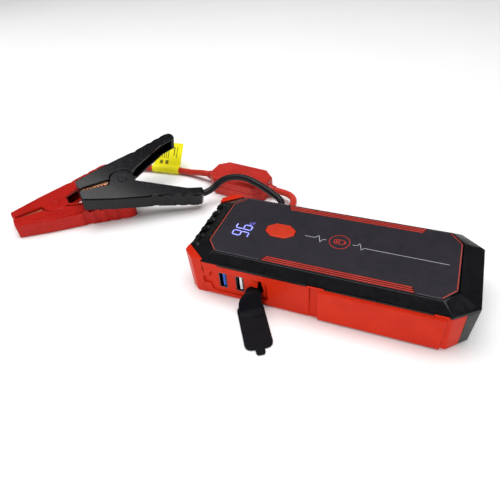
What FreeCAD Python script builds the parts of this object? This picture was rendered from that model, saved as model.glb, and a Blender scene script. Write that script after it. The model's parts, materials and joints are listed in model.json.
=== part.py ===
import FreeCAD, Part
import math
import os

# Car jump starter pack: a battery pack with a hanging rubber port cover, and a
# plug-in lead set with an inline control box and two battery clamps.
# Millimetres.  The origin is the centre of the pack's flat bottom, +X runs along
# its length, -Y is the side with the USB ports and +Z is up.

Vec = FreeCAD.Vector
X_AXIS, Y_AXIS, Z_AXIS = Vec(1, 0, 0), Vec(0, 1, 0), Vec(0, 0, 1)

# ---- driving dimensions -------------------------------------------------------
PACK_LENGTH = 190.0
PACK_WIDTH = 77.0
PACK_HEIGHT = 37.0
BRIM_CORNER = (14.5, 11.5)      # corner cut of the widest outline, along X and Y
BRIM_Z = 31.5                   # where the cover's side turns into its bevel
SPLIT_Z = 29.5                  # seam between the housing and the cover
BASE_LENGTH = 187.0             # the housing tapers a little to its bottom
BASE_WIDTH = 74.0
BASE_CORNER = (12.0, 12.0)
WALL = 2.2

PANEL_LENGTH = 162.0
PANEL_WIDTH = 63.0
PANEL_CORNER = (8.0, 9.5)
PANEL_THICKNESS = 1.6
PANEL_EDGE = 0.4                # chamfer round the panel's upper edge

STRIP_CENTRE_X = 9.0            # red accent strips beside the panel's long edges
STRIP_OUTER_LENGTH = 97.5
STRIP_INNER_LENGTH = 93.0
STRIP_WIDTH = 5.2
STRIP_DEPTH = 1.0
STRIP_RIDGES = 3

BUTTON_CENTRE = (-36.5, 1.0)
BUTTON_SIZE = (21.0, 14.4)
BUTTON_CORNER = (5.5, 4.6)
BUTTON_TRAVEL = 0.8
BUTTON_PROUD = 0.6
GAP = 0.3                       # clearance round pieces that move

BAY_X = (-75.5, -33.6)          # shallow recess that holds the ports
BAY_Z = (4.2, 23.8)
BAY_DEPTH = 2.4
BAY_CORNER = 4.0
PORT_Z = 15.0
USB_X = (-66.5, -54.0)
USB_SHELL = (5.8, 13.6)         # width and height of a USB shell that stands upright
USB_DEPTH = 14.0
CHARGE_X = -43.5
CHARGE_Z = 9.8
CHARGE_SIZE = (9.0, 3.2)

GROOVE_X = (-4.6, 1.4)          # upright groove in the front face
FRONT_PAD_PROUD = 1.6           # the front face stands proud to the right of the groove
END_COVER_X = 88.0              # the dark end cover takes the housing's last stretch

SOCKET_X = -52.0
SOCKET_Z = 13.0
SOCKET_SIZE = (24.0, 16.0, 13.0)
CONTACT_PITCH = 8.4
CONTACT_DIAMETER = 5.0

LEAD_DIAMETER = 5.6
FLOOR_CLEARANCE = 0.1

CLAMP_THICKNESS = 14.0
CLAMP_SCALE = 0.98
PIN_DIAMETER = 4.0
PIN_HEAD = (3.4, 0.8)           # radius and height of the flush pin heads

COVER_LENGTH = 38.0             # rubber port cover
COVER_WIDTH = 18.6
COVER_THICKNESS = 2.0

os.makedirs("parts", exist_ok=True)


# ---- helpers --------------------------------------------------------------------
def save(name, shape):
    """Write one node and print its volume."""
    shape.exportStep("parts/%s.step" % name)
    print("%-26s %10.1f mm3  valid %s" % (name, shape.Volume, shape.isValid()))
    return shape


def box(x0, x1, y0, y1, z0, z1):
    return Part.makeBox(x1 - x0, y1 - y0, z1 - z0, Vec(x0, y0, z0))


def cylinder(radius, start, end):
    start, end = Vec(*start), Vec(*end)
    return Part.makeCylinder(radius, (end - start).Length, start, end - start)


def polygon(points):
    points = [Vec(*p) for p in points]
    return Part.makePolygon(points + points[:1])


def plate(outline, z0, z1):
    """Prism on a list of (x, y) corners."""
    face = Part.Face(polygon([(x, y, z0) for x, y in outline]))
    return face.extrude(Vec(0, 0, z1 - z0))


def octagon(length, width, corner, inset=0.0):
    """Corners of a rectangle with cut corners, moved inwards by inset."""
    a, b = corner
    slope = math.hypot(a, b)
    x, y = length / 2 - inset, width / 2 - inset
    a, b = a - inset * (a + b - slope) / b, b - inset * (a + b - slope) / a
    return [(-x + a, y), (x - a, y), (x, y - b), (x, -y + b),
            (x - a, -y), (-x + a, -y), (-x, -y + b), (-x, y - b)]


def octagon_wire(length, width, corner, z, inset=0.0):
    return polygon([(x, y, z) for x, y in octagon(length, width, corner, inset)])


def loft(*wires):
    return Part.makeLoft(list(wires), True, True)


def rounded_slot(x0, x1, z0, z1, radius, y0, y1):
    """Block along Y with rounded edges, as a moulded recess has."""
    solid = box(x0, x1, y0, y1, z0, z1)
    edges = [e for e in solid.Edges if abs(e.Vertexes[0].Y - e.Vertexes[1].Y) > 0.1]
    return solid.makeFillet(radius, edges)


BEND_SHARE = 0.45               # how much of a run the bends at its ends take, each


def sweep(points, radius):
    """Round bar through the points: straight runs joined by tangent arcs."""
    points = [Vec(*p) for p in points]
    edges, start = [], points[0]
    for before, here, after in zip(points, points[1:], points[2:]):
        back, ahead = before - here, after - here
        turn = math.pi - back.getAngle(ahead)
        reach = BEND_SHARE * min(back.Length, ahead.Length)
        back.normalize()
        ahead.normalize()
        bend = reach / math.tan(turn / 2)
        a, b = here + back * reach, here + ahead * reach
        mid = here + (back + ahead).normalize() * (math.hypot(reach, bend) - bend)
        edges += [Part.LineSegment(start, a).toShape(), Part.Arc(a, mid, b).toShape()]
        start = b
    edges.append(Part.LineSegment(start, points[-1]).toShape())
    path = Part.Wire(edges)
    ring = Part.Wire([Part.makeCircle(radius, points[0], points[1] - points[0])])
    return path.makePipeShell([ring], True, False)


def group(solids):
    return Part.makeCompound(solids)


# ---- battery pack ---------------------------------------------------------------
def brim_wire(z, inset=0.0):
    return octagon_wire(PACK_LENGTH, PACK_WIDTH, BRIM_CORNER, z, inset)


def base_wire(z, inset=0.0):
    return octagon_wire(BASE_LENGTH, BASE_WIDTH, BASE_CORNER, z, inset)


FRONT_Y = -PACK_WIDTH / 2
# short stretches of the front where the housing reaches up into the cover's skirt
FRONT_TABS = ((-6.0, 5.2), (70.5, 79.0))
TAB_TOP = BRIM_Z - 0.3
WING_TOP = 33.2                 # the left corners' red wings end a little above the brim
WING_TOP_CUT, WING_BASE_CUT = (7.5, 6.5), (6.0, 5.0)
WING_ROOT = 1.0                 # how deep a wing is rooted in the wall
FOOT = 1.2                      # chamfer round the bottom
FRONT_PAD_END = 78.0
GROOVE_DEPTH = 2.0
LEFT_TAB_X, LEFT_TAB_Y = -68.5, -20.5   # how far the tab at the left corner runs


def tab_blocks():
    blocks = [box(x0, x1, FRONT_Y - 1, FRONT_Y + WALL, SPLIT_Z, TAB_TOP) for x0, x1 in FRONT_TABS]
    left_end = box(-PACK_LENGTH / 2 - 1, LEFT_TAB_X, FRONT_Y - 1, LEFT_TAB_Y, SPLIT_Z, TAB_TOP - 0.5)
    inside = loft(brim_wire(SPLIT_Z - 1, WALL), brim_wire(BRIM_Z, WALL))
    return blocks + [left_end.cut(inside)]


def corner_wing(side):
    """The housing's fuller left corner, which stands up round the cover's cut corner."""
    levels = []
    for z, length, width, corner, cut in ((0.0, BASE_LENGTH, BASE_WIDTH, BASE_CORNER, WING_BASE_CUT),
                                          (WING_TOP, PACK_LENGTH, PACK_WIDTH, BRIM_CORNER, WING_TOP_CUT)):
        x, y = -length / 2, width / 2
        outline = [(x, y - corner[1]), (x, y - cut[1]), (x + cut[0], y), (x + corner[0], y),
                   (x + corner[0] + WING_ROOT, y - WING_ROOT), (x + WING_ROOT, y - corner[1] - WING_ROOT)]
        levels.append(polygon([(u, side * v, z) for u, v in outline]))
    wing = loft(*levels)
    return wing.cut(bevelled_cover())


def full_housing():
    outer = loft(base_wire(0), brim_wire(SPLIT_Z))
    foot = loft(base_wire(0, FOOT), base_wire(FOOT))
    outer = outer.cut(box(-PACK_LENGTH, PACK_LENGTH, -PACK_WIDTH, PACK_WIDTH, -1, FOOT)).fuse(foot)
    pad = box(GROOVE_X[1], FRONT_PAD_END, FRONT_Y - FRONT_PAD_PROUD, FRONT_Y + 4, 1.0, SPLIT_Z - 1.5)
    slope = math.degrees(math.atan2((PACK_WIDTH - BASE_WIDTH) / 2, SPLIT_Z))
    pad.rotate(Vec(0, FRONT_Y, SPLIT_Z), X_AXIS, slope)
    outer = outer.fuse(pad)
    inner = loft(base_wire(WALL, WALL), brim_wire(SPLIT_Z + 0.1, WALL))
    shell = outer.cut(inner)
    for block in tab_blocks():
        shell = shell.fuse(block.common(loft(brim_wire(SPLIT_Z), brim_wire(BRIM_Z))))
    for side in (-1, 1):
        shell = shell.fuse(corner_wing(side))
    # the wall is doubled behind the groove
    groove_back = box(GROOVE_X[0] - 2, GROOVE_X[1] + 2, FRONT_Y + WALL - 0.2, FRONT_Y + WALL + 2,
                      1.0, SPLIT_Z - 0.2)
    groove = box(GROOVE_X[0], GROOVE_X[1], FRONT_Y - 5, FRONT_Y + GROOVE_DEPTH, -1, TAB_TOP - 2.2)
    return shell.fuse(groove_back).cut(groove)


def end_block():
    return box(END_COVER_X, PACK_LENGTH, -PACK_WIDTH, PACK_WIDTH, -1, SPLIT_Z)


def bay_cut():
    shallow = rounded_slot(BAY_X[0], BAY_X[1], BAY_Z[0], BAY_Z[1], BAY_CORNER,
                           FRONT_Y - 3, FRONT_Y + BAY_DEPTH)
    thumb = rounded_slot(BAY_X[0] - 5.5, BAY_X[0] + 6, PORT_Z - 4.5, PORT_Z + 2.5, 2.0,
                         FRONT_Y - 3, FRONT_Y + BAY_DEPTH)
    ring = rounded_slot(BAY_X[1] - 12, BAY_X[1], BAY_Z[0], BAY_Z[1], BAY_CORNER,
                        FRONT_Y, FRONT_Y + BAY_DEPTH + 2)
    ring = ring.cut(rounded_slot(BAY_X[1] - 14, BAY_X[1] - 1.8, BAY_Z[0] + 1.8, BAY_Z[1] - 1.8,
                                 BAY_CORNER - 1.8, FRONT_Y, FRONT_Y + BAY_DEPTH + 2))
    # the strap's end of the recess is deeper, so that the cover's root can tuck in
    pocket = rounded_slot(BAY_X[1] - 7.5, BAY_X[1], BAY_Z[0] + 0.8, BAY_Z[1] - 0.8, 3.0,
                          FRONT_Y, FRONT_Y + BAY_DEPTH + 1.0)
    return shallow.fuse(thumb).fuse(ring).fuse(pocket)


SCREW_POINTS = [(sx * 76.0, sy * 24.0) for sx in (-1, 1) for sy in (-1, 1)]


def lower_housing():
    body = full_housing().cut(end_block())
    # a thicker wall behind the ports carries the recess
    backing = box(BAY_X[0] - 7, BAY_X[1] + 3, FRONT_Y + 1.6, FRONT_Y + BAY_DEPTH + 3.2, WALL - 0.2, SPLIT_Z)
    body = body.fuse(backing).cut(bay_cut())
    for x in USB_X:
        width, height = USB_SHELL
        body = body.cut(box(x - width / 2, x + width / 2, FRONT_Y, FRONT_Y + 12,
                            PORT_Z - height / 2, PORT_Z + height / 2))
    width, height = CHARGE_SIZE
    port = rounded_slot(CHARGE_X - width / 2, CHARGE_X + width / 2, CHARGE_Z - height / 2,
                        CHARGE_Z + height / 2, height / 2 - 0.05, FRONT_Y, FRONT_Y + 12)
    body = body.cut(port)
    sx, sy, sz = SOCKET_SIZE
    body = body.cut(box(SOCKET_X - sx / 2, SOCKET_X + sx / 2, 20, 45, SOCKET_Z - sz / 2, SOCKET_Z + sz / 2))
    for x, y in SCREW_POINTS:
        post = cylinder(4.0, (x, y, WALL - 0.5), (x, y, SPLIT_Z))
        body = body.fuse(post)
        body = body.cut(cylinder(1.6, (x, y, -1), (x, y, SPLIT_Z + 1)))
        body = body.cut(cylinder(3.2, (x, y, -1), (x, y, 4.0)))
    body = body.cut(strap_socket())
    return body.removeSplitter()


def bevelled_cover():
    brim = loft(brim_wire(SPLIT_Z), brim_wire(BRIM_Z))
    bevel_top = PACK_HEIGHT - PANEL_EDGE
    top = octagon_wire(PANEL_LENGTH + 1.4, PANEL_WIDTH + 1.4, PANEL_CORNER, bevel_top)
    return brim.fuse(loft(brim_wire(BRIM_Z), top))


def cover_hollow():
    ledge_z = PACK_HEIGHT - PANEL_THICKNESS - 1.5
    low = loft(brim_wire(SPLIT_Z - 1, WALL), brim_wire(BRIM_Z - 1.2, WALL))
    high = loft(brim_wire(BRIM_Z - 1.2, WALL),
                octagon_wire(PANEL_LENGTH, PANEL_WIDTH, PANEL_CORNER, ledge_z, 1.0))
    opening = loft(octagon_wire(PANEL_LENGTH, PANEL_WIDTH, PANEL_CORNER, ledge_z - 1, 3.0),
                   octagon_wire(PANEL_LENGTH, PANEL_WIDTH, PANEL_CORNER, PACK_HEIGHT + 1, 3.0))
    seat = loft(octagon_wire(PANEL_LENGTH, PANEL_WIDTH, PANEL_CORNER, PACK_HEIGHT - PANEL_THICKNESS, -0.1),
                octagon_wire(PANEL_LENGTH, PANEL_WIDTH, PANEL_CORNER, PACK_HEIGHT + 1, -0.1))
    return low.fuse(high).fuse(opening).fuse(seat)


RIB_PITCH = 9.4
RIB_NOTCHES = 5
RIB_NOTCH_RADIUS = 1.5
RIB_FIRST_Y = -20.0
RIB_RADIUS, RIB_PROUD = 3.4, 0.9
RIB_SLOPE_RUN, RIB_SLOPE_RISE = 6.2, 2.6     # the cover's slope above its brim
RIB_SLOPE_LENGTH = 3.6


def rib_notches():
    """Notches that leave six ribs across the cover's left end."""
    cuts = []
    x_edge = -PACK_LENGTH / 2
    for i in range(RIB_NOTCHES):
        y = RIB_FIRST_Y + RIB_PITCH * i
        side = cylinder(RIB_NOTCH_RADIUS, (x_edge, y, SPLIT_Z - 1), (x_edge, y, BRIM_Z + 0.6))
        slope = cylinder(RIB_NOTCH_RADIUS, (x_edge - 1, y, BRIM_Z - 0.2), (x_edge + 5.2, y, BRIM_Z + 2.4))
        cuts += [side, slope]
    return group(cuts)


def end_ribs():
    """Round-ended ribs that stand proud between the notches and run up the slope."""
    ribs = []
    x_edge = -PACK_LENGTH / 2
    sunk = RIB_RADIUS - RIB_PROUD
    slope = Vec(RIB_SLOPE_RUN, 0, RIB_SLOPE_RISE).normalize()
    above = box(x_edge - RIB_RADIUS, x_edge + 12, -PACK_WIDTH, PACK_WIDTH, SPLIT_Z + 0.2, PACK_HEIGHT)
    for i in range(RIB_NOTCHES + 1):
        y = RIB_FIRST_Y + RIB_PITCH * (i - 0.5)
        on_slope = Vec(x_edge + sunk * slope.z, y, BRIM_Z - sunk * slope.x)
        knee = on_slope + slope * ((x_edge + sunk - on_slope.x) / slope.x)
        top = knee + slope * RIB_SLOPE_LENGTH
        rib = cylinder(RIB_RADIUS, knee, top)
        for end in (knee, top):
            rib = rib.fuse(Part.makeSphere(RIB_RADIUS, end))
        ribs.append(rib.common(above))
    return ribs


def top_cover():
    cover = bevelled_cover()
    for rib in end_ribs():
        cover = cover.fuse(rib)
    cover = cover.cut(cover_hollow())
    for block in tab_blocks():
        cover = cover.cut(block)
    cover = cover.cut(rib_notches())
    for x, y in SCREW_POINTS:
        post = cylinder(3.4, (x, y, SPLIT_Z), (x, y, PACK_HEIGHT - PANEL_THICKNESS - 1.2))
        cover = cover.fuse(post.cut(cylinder(1.2, (x, y, SPLIT_Z - 1), (x, y, SPLIT_Z + 4))))
    return cover.removeSplitter()


def strip_outline(side, grow=0.0):
    outer_y = side * (PANEL_WIDTH / 2 - PANEL_EDGE)
    inner_y = outer_y - side * (STRIP_WIDTH + grow)
    half_out, half_in = STRIP_OUTER_LENGTH / 2 + grow, STRIP_INNER_LENGTH / 2 + grow
    outline = [(STRIP_CENTRE_X - half_out, outer_y), (STRIP_CENTRE_X + half_out, outer_y),
               (STRIP_CENTRE_X + half_in, inner_y), (STRIP_CENTRE_X - half_in, inner_y)]
    return outline if side > 0 else outline[::-1]


def button_outline(grow=0.0):
    length, width = BUTTON_SIZE
    cx, cy = BUTTON_CENTRE
    return [(cx + x, cy + y) for x, y in octagon(length, width, BUTTON_CORNER, -grow)]


def top_panel():
    z_low = PACK_HEIGHT - PANEL_THICKNESS
    slab = loft(octagon_wire(PANEL_LENGTH, PANEL_WIDTH, PANEL_CORNER, z_low),
                octagon_wire(PANEL_LENGTH, PANEL_WIDTH, PANEL_CORNER, PACK_HEIGHT - PANEL_EDGE))
    edge = loft(octagon_wire(PANEL_LENGTH, PANEL_WIDTH, PANEL_CORNER, PACK_HEIGHT - PANEL_EDGE),
                octagon_wire(PANEL_LENGTH, PANEL_WIDTH, PANEL_CORNER, PACK_HEIGHT, PANEL_EDGE))
    panel = slab.fuse(edge).removeSplitter()
    panel = panel.cut(plate(button_outline(GAP), z_low - 1, PACK_HEIGHT + 1))
    for side in (-1, 1):
        panel = panel.cut(plate(strip_outline(side), PACK_HEIGHT - STRIP_DEPTH, PACK_HEIGHT + 1))
    return panel


def accent_strip(side):
    """Red trapezoid strip with three long ridges."""
    strip = plate(strip_outline(side), PACK_HEIGHT - STRIP_DEPTH, PACK_HEIGHT - 0.45)
    pitch = STRIP_WIDTH / STRIP_RIDGES
    edge_y = PANEL_WIDTH / 2 - PANEL_EDGE
    for i in range(STRIP_RIDGES):
        y = edge_y - (i + 0.5) * pitch
        taper = (STRIP_OUTER_LENGTH - STRIP_INNER_LENGTH) / STRIP_RIDGES
        half = (STRIP_OUTER_LENGTH - (i + 1.0) * taper) / 2
        y0, y1 = sorted((side * (y - 0.5), side * (y + 0.5)))
        ridge = box(STRIP_CENTRE_X - half, STRIP_CENTRE_X + half, y0, y1,
                    PACK_HEIGHT - STRIP_DEPTH, PACK_HEIGHT)
        strip = strip.fuse(ridge)
    return strip.removeSplitter()


BOARD_Z = (26.6, 28.2)
SWITCH_TOP = 31.6


def power_button():
    top = PACK_HEIGHT + BUTTON_PROUD
    under_panel = PACK_HEIGHT - PANEL_THICKNESS - 0.1
    cap = plate(button_outline(), under_panel - 0.5, top - 0.5)
    crown = loft(polygon([(x, y, top - 0.5) for x, y in button_outline()]),
                 polygon([(x, y, top) for x, y in button_outline(-0.5)]))
    flange = plate(button_outline(2.2), under_panel - 1.4, under_panel)
    cx, cy = BUTTON_CENTRE
    stem = cylinder(2.2, (cx, cy, SWITCH_TOP + BUTTON_TRAVEL + 0.1), (cx, cy, under_panel - 0.5))
    return cap.fuse(crown).fuse(flange).fuse(stem).removeSplitter()


def button_switch():
    cx, cy = BUTTON_CENTRE
    body = box(cx - 3, cx + 3, cy - 3, cy + 3, BOARD_Z[1], BOARD_Z[1] + 2.4)
    return body.fuse(cylinder(1.7, (cx, cy, BOARD_Z[1] + 2), (cx, cy, SWITCH_TOP)))


def display_module():
    """Three-digit LED display under the panel's clear window."""
    return box(-73.0, -51.0, -15.5, 6.5, BOARD_Z[1], PACK_HEIGHT - PANEL_THICKNESS - 0.1)


def main_board():
    board = box(-86.0, -24.0, -31.0, 31.0, *BOARD_Z)
    for x, y in SCREW_POINTS[:2]:
        board = board.cut(cylinder(4.6, (x, y, 20), (x, y, 35)))
    return board


def port_board():
    return box(-71.0, -34.0, -31.5, -14.0, PORT_Z - USB_SHELL[1] / 2 - 1.6, PORT_Z - USB_SHELL[1] / 2)


def usb_shell(x):
    width, height = USB_SHELL
    y0 = FRONT_Y + BAY_DEPTH
    shell = box(x - width / 2, x + width / 2, y0, y0 + USB_DEPTH, PORT_Z - height / 2, PORT_Z + height / 2)
    mouth = box(x - width / 2 + 0.4, x + width / 2 - 0.4, y0 - 1, y0 + USB_DEPTH - 1.2,
                PORT_Z - height / 2 + 0.4, PORT_Z + height / 2 - 0.4)
    return shell.cut(mouth)


def usb_tongue(x):
    y0 = FRONT_Y + BAY_DEPTH
    return box(x - 0.3, x + 1.6, y0 + 0.8, y0 + USB_DEPTH - 1.2, PORT_Z - 5.6, PORT_Z + 5.6)


def charge_port():
    width, height = CHARGE_SIZE
    y0 = FRONT_Y + BAY_DEPTH + 1.1
    shell = rounded_slot(CHARGE_X - width / 2, CHARGE_X + width / 2, CHARGE_Z - height / 2,
                         CHARGE_Z + height / 2, height / 2 - 0.05, y0, y0 + 7.5)
    mouth = rounded_slot(CHARGE_X - width / 2 + 0.35, CHARGE_X + width / 2 - 0.35,
                         CHARGE_Z - height / 2 + 0.35, CHARGE_Z + height / 2 - 0.35,
                         height / 2 - 0.45, y0 - 1, y0 + 6.5)
    tongue = box(CHARGE_X - 3.3, CHARGE_X + 3.3, y0 + 0.8, y0 + 7.0, CHARGE_Z - 0.35, CHARGE_Z + 0.35)
    return shell.cut(mouth).fuse(tongue)


CELL_COUNT = 4
CELL_SIZE = (90.0, 52.0, 5.6)
CELL_START = (-20.0, -26.0, 2.6)
CELL_GAP = 0.4


def battery_cell(index):
    """Soft pouch cell with its two tabs at the left."""
    x, y, z = CELL_START
    z += index * (CELL_SIZE[2] + CELL_GAP)
    pouch = Part.makeBox(*CELL_SIZE, Vec(x, y, z))
    pouch = pouch.makeFillet(1.6, [e for e in pouch.Edges if abs(e.Vertexes[0].Z - e.Vertexes[1].Z) > 1])
    mid = z + CELL_SIZE[2] / 2
    tabs = [box(x - 5, x + 0.5, side * 14 - 4, side * 14 + 4, mid - 0.15, mid + 0.15) for side in (-1, 1)]
    return pouch.fuse(tabs[0]).fuse(tabs[1])


def inner_rim(outer_inset, inner_inset, x0, x1):
    """Slice of a rim that follows the inside of the housing's wall."""
    outer = loft(base_wire(WALL, outer_inset), brim_wire(SPLIT_Z, outer_inset))
    hole = loft(base_wire(WALL - 1, inner_inset), brim_wire(SPLIT_Z + 1, inner_inset))
    return outer.cut(hole).common(box(x0, x1, -40, 40, WALL + 0.2, SPLIT_Z - 1.5))


def end_cover():
    """Dark cap on the housing's end, with a lip that reaches into the housing."""
    cap = full_housing().common(end_block())
    cap = cap.fuse(inner_rim(WALL - 0.6, WALL + 1.5, END_COVER_X, END_COVER_X + 1.2))
    cap = cap.fuse(inner_rim(WALL + 0.1, WALL + 1.5, END_COVER_X - 3.0, END_COVER_X + 0.5))
    return cap.cut(cylinder(TORCH_RADIUS, (80, 0, TORCH_Z), (100, 0, TORCH_Z))).removeSplitter()


TORCH_RADIUS = 8.0
TORCH_Z = 15.0


def torch_lens():
    x = PACK_LENGTH / 2 - 0.9
    return cylinder(TORCH_RADIUS, (x - 1.8, 0, TORCH_Z), (x, 0, TORCH_Z))


def torch_reflector():
    x = PACK_LENGTH / 2 - 2.7
    bowl = Part.makeCone(3.0, TORCH_RADIUS - 0.1, 7.0, Vec(x - 7, 0, TORCH_Z), X_AXIS)
    hollow = Part.makeCone(2.0, TORCH_RADIUS - 0.9, 7.0, Vec(x - 7, 0, TORCH_Z), X_AXIS)
    return bowl.cut(hollow)


def torch_led():
    x = PACK_LENGTH / 2 - 9.7
    base = box(x - 1.4, x, -4.5, 4.5, TORCH_Z - 4.5, TORCH_Z + 4.5)
    return base.fuse(box(x, x + 1.0, -1.2, 1.2, TORCH_Z - 1.2, TORCH_Z + 1.2))


def contact_x(side):
    return SOCKET_X + side * CONTACT_PITCH / 2


def jump_socket():
    """Two-pole high-current socket in the back wall."""
    sx, sy, sz = SOCKET_SIZE
    y1 = PACK_WIDTH / 2 - 0.6
    block = box(SOCKET_X - sx / 2, SOCKET_X + sx / 2, y1 - sy, y1, SOCKET_Z - sz / 2, SOCKET_Z + sz / 2)
    well = box(SOCKET_X - 9.5, SOCKET_X + 9.5, y1 - 10, y1 + 1, SOCKET_Z - 4.6, SOCKET_Z + 4.6)
    block = block.cut(well)
    for side in (-1, 1):
        x = contact_x(side)
        bore = cylinder(CONTACT_DIAMETER / 2 + 0.6, (x, y1 - sy - 1, SOCKET_Z), (x, y1, SOCKET_Z))
        block = block.cut(bore)
    return block


def socket_contacts():
    """Gold-plated tubes that the plug's pins push into."""
    tubes = []
    y1 = PACK_WIDTH / 2 - 0.6
    for side in (-1, 1):
        x = contact_x(side)
        tube = cylinder(CONTACT_DIAMETER / 2 + 0.6, (x, y1 - 16, SOCKET_Z), (x, y1 - 10.0, SOCKET_Z))
        tubes.append(tube.cut(cylinder(CONTACT_DIAMETER / 2, (x, y1 - 15, SOCKET_Z), (x, y1 - 9, SOCKET_Z))))
    return group(tubes)


def bus_bars():
    bars = []
    y_back = PACK_WIDTH / 2 - 0.6 - 16
    for side, lane in ((-1, -14), (1, 14)):
        x = contact_x(side)
        root = box(x - 3, x + 3, y_back - 1.2, y_back, SOCKET_Z - 3, SOCKET_Z + 3)
        drop = box(x - 3, x + 3, min(y_back, lane), y_back, SOCKET_Z + 1.8, SOCKET_Z + 3)
        run = box(x - 3, -27.0, lane - 2, lane + 2, SOCKET_Z + 1.8, SOCKET_Z + 3)
        riser = box(-27.0, -25.8, lane - 4, lane + 4, 4.0, 24.0)
        bars.append(root.fuse(drop).fuse(run).fuse(riser).removeSplitter())
    return group(bars)


def housing_screws():
    screws = []
    for x, y in SCREW_POINTS:
        head = cylinder(2.8, (x, y, 2.0), (x, y, 4.0))
        head = head.cut(box(x - 2, x + 2, y - 0.4, y + 0.4, 1.5, 2.8))
        head = head.cut(box(x - 0.4, x + 0.4, y - 2, y + 2, 1.5, 2.8))
        screws.append(head.fuse(cylinder(1.2, (x, y, 3.9), (x, y, SPLIT_Z + 3.6))))
    return group(screws)


# ---- rubber port cover ------------------------------------------------------------
# Closed, the cover fills the recess.  Open, it lies on the floor with its outer face
# up, still held by its strap.  On the way it swings out like a door and turns over;
# two turns about a small knuckle in the bend of the strap make that path.
COVER_ROOT_X = -35.1
COVER_MID_Z = 14.0
SWING_AXIS, SWING_POINT, SWING_DEG = Vec(0.82774, -0.12053, 0.54802), Vec(-38.87, -40.05, 4.74), 179.98
TURN_AXIS, TURN_POINT, TURN_DEG = Vec(-0.55288, 0.74730, 0.36860), Vec(-40.56, -38.44, 7.25), 165.09
KNUCKLE_RADIUS = 0.8
STRAP_START = Vec(-44.0, -37.0, 0)
STRAP_HEADING_DEG = 32.0
STRAP_WIDTH = 9.5


def port_cover():
    """The cover, turned from its closed place on the face to where it lies open."""
    x1, x0 = COVER_ROOT_X, COVER_ROOT_X - COVER_LENGTH
    y0, y1 = FRONT_Y - 0.1, FRONT_Y - 0.1 + COVER_THICKNESS
    z0, z1 = COVER_MID_Z - COVER_WIDTH / 2, COVER_MID_Z + COVER_WIDTH / 2
    slab = rounded_slot(x0, x1, z0, z1, 4.6, y0, y1)
    tab = rounded_slot(x0 - 4.6, x0 + 6, COVER_MID_Z - 3, COVER_MID_Z + 3, 1.8, y0, y1)
    cover = slab.fuse(tab).removeSplitter()
    cover.rotate(TURN_POINT, TURN_AXIS, TURN_DEG)
    cover.rotate(SWING_POINT, SWING_AXIS, SWING_DEG)
    return cover


def cover_knuckle():
    return Part.makeSphere(KNUCKLE_RADIUS, SWING_POINT)


def strap_socket():
    return box(-46.5, -40.5, FRONT_Y + 2.0, FRONT_Y + 5.0, 12.2, 14.8)


def cover_strap():
    """Rubber strap that arches from its root in the recess down to the open cover."""
    h = math.radians(STRAP_HEADING_DEG)
    out = Vec(math.sin(h), -math.cos(h), 0)
    side = out.cross(Z_AXIS)
    arch = [(-2.5, 13.2), (-2.5, 14.8), (1.9, 14.8), (4.3, 13.6), (6.4, 10.2), (8.2, 5.2), (9.4, 3.9),
            (11.5, 3.7), (11.5, 2.4), (8.8, 2.5), (7.0, 4.2), (5.0, 9.4), (3.2, 12.3), (1.4, 13.2)]
    start = STRAP_START - side * (STRAP_WIDTH / 2)
    outline = [start + out * s + Z_AXIS * z for s, z in arch]
    strap = Part.Face(polygon(outline)).extrude(side * STRAP_WIDTH)
    strap = strap.cut(box(-60, -30, FRONT_Y + BAY_DEPTH, -20, 0, 30))
    return strap.fuse(strap_socket()).removeSplitter()


# ---- battery clamps -----------------------------------------------------------------
# Each clamp is drawn flat with its pin at the origin and its jaws along +X.  A half
# lies on the side y > 0 and is mirrored for the other one.
OUTER_EDGE = [(38, 11.5), (14, 20), (0, 24), (-20, 29.5), (-45, 38.5), (-54, 41.4), (-58.2, 41.2),
              (-60.4, 39), (-61, 33.5)]
INNER_EDGE = [(-45, 28), (-9, 5.4), (0, 0.35), (8.6, 0.5), (11.4, 3.3), (33.5, 2.0), (36.2, 0.9),
              (38, 3.5)]
HUB_RADIUS = 10.5
EAR_THICKNESS = 1.8
SIDE_WALL = 2.0
WAVES = 4                       # finger scallops on each handle
WAVE_RADIUS, WAVE_DEPTH, WAVE_PITCH = 7.0, 1.1, 9.4
BRAID_RADIUS, CORE_RADIUS = 0.7, 2.0
LEAD_SIDE = 35.4                # the lead's height in the fixed handle, before scaling
RED_CLAMP = (Vec(-248.2, 6.8, CLAMP_THICKNESS / 2 + FLOOR_CLEARANCE), 231.9, 0.0, 0.0)
BLACK_CLAMP = (Vec(-192.8, 35.3, 26.2), 228.0, 16.8, 3.0)


def clamp_place(spec):
    pivot, yaw, tilt, pitch = spec
    turn = FreeCAD.Rotation(Z_AXIS, yaw) * FreeCAD.Rotation(X_AXIS, -tilt) * FreeCAD.Rotation(Y_AXIS, -pitch)
    return FreeCAD.Placement(pivot, turn)


def scaled(points):
    return [(x * CLAMP_SCALE, y * CLAMP_SCALE) for x, y in points]


def disc(radius, z0, z1):
    return cylinder(radius, (0, 0, z0), (0, 0, z1))


def both_sides(z0, z1, make):
    """The same slice above and below the middle plane."""
    return make(z0, z1).fuse(make(-z1, -z0))


def finger_waves():
    """Shallow scallops along the handle's outer edge."""
    (x0, y0), (x1, y1) = OUTER_EDGE[3], OUTER_EDGE[4]
    length = math.hypot(x1 - x0, y1 - y0)
    along, out = ((x1 - x0) / length, (y1 - y0) / length), ((y1 - y0) / length, (x0 - x1) / length)
    dips = []
    for i in range(WAVES):
        run, lift = WAVE_PITCH * i, WAVE_RADIUS - WAVE_DEPTH
        x = (x0 + along[0] * run + out[0] * lift) * CLAMP_SCALE
        y = (y0 + along[1] * run + out[1] * lift) * CLAMP_SCALE
        dips.append(cylinder(WAVE_RADIUS, (x, y, -9), (x, y, 9)))
    return group(dips)


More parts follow.
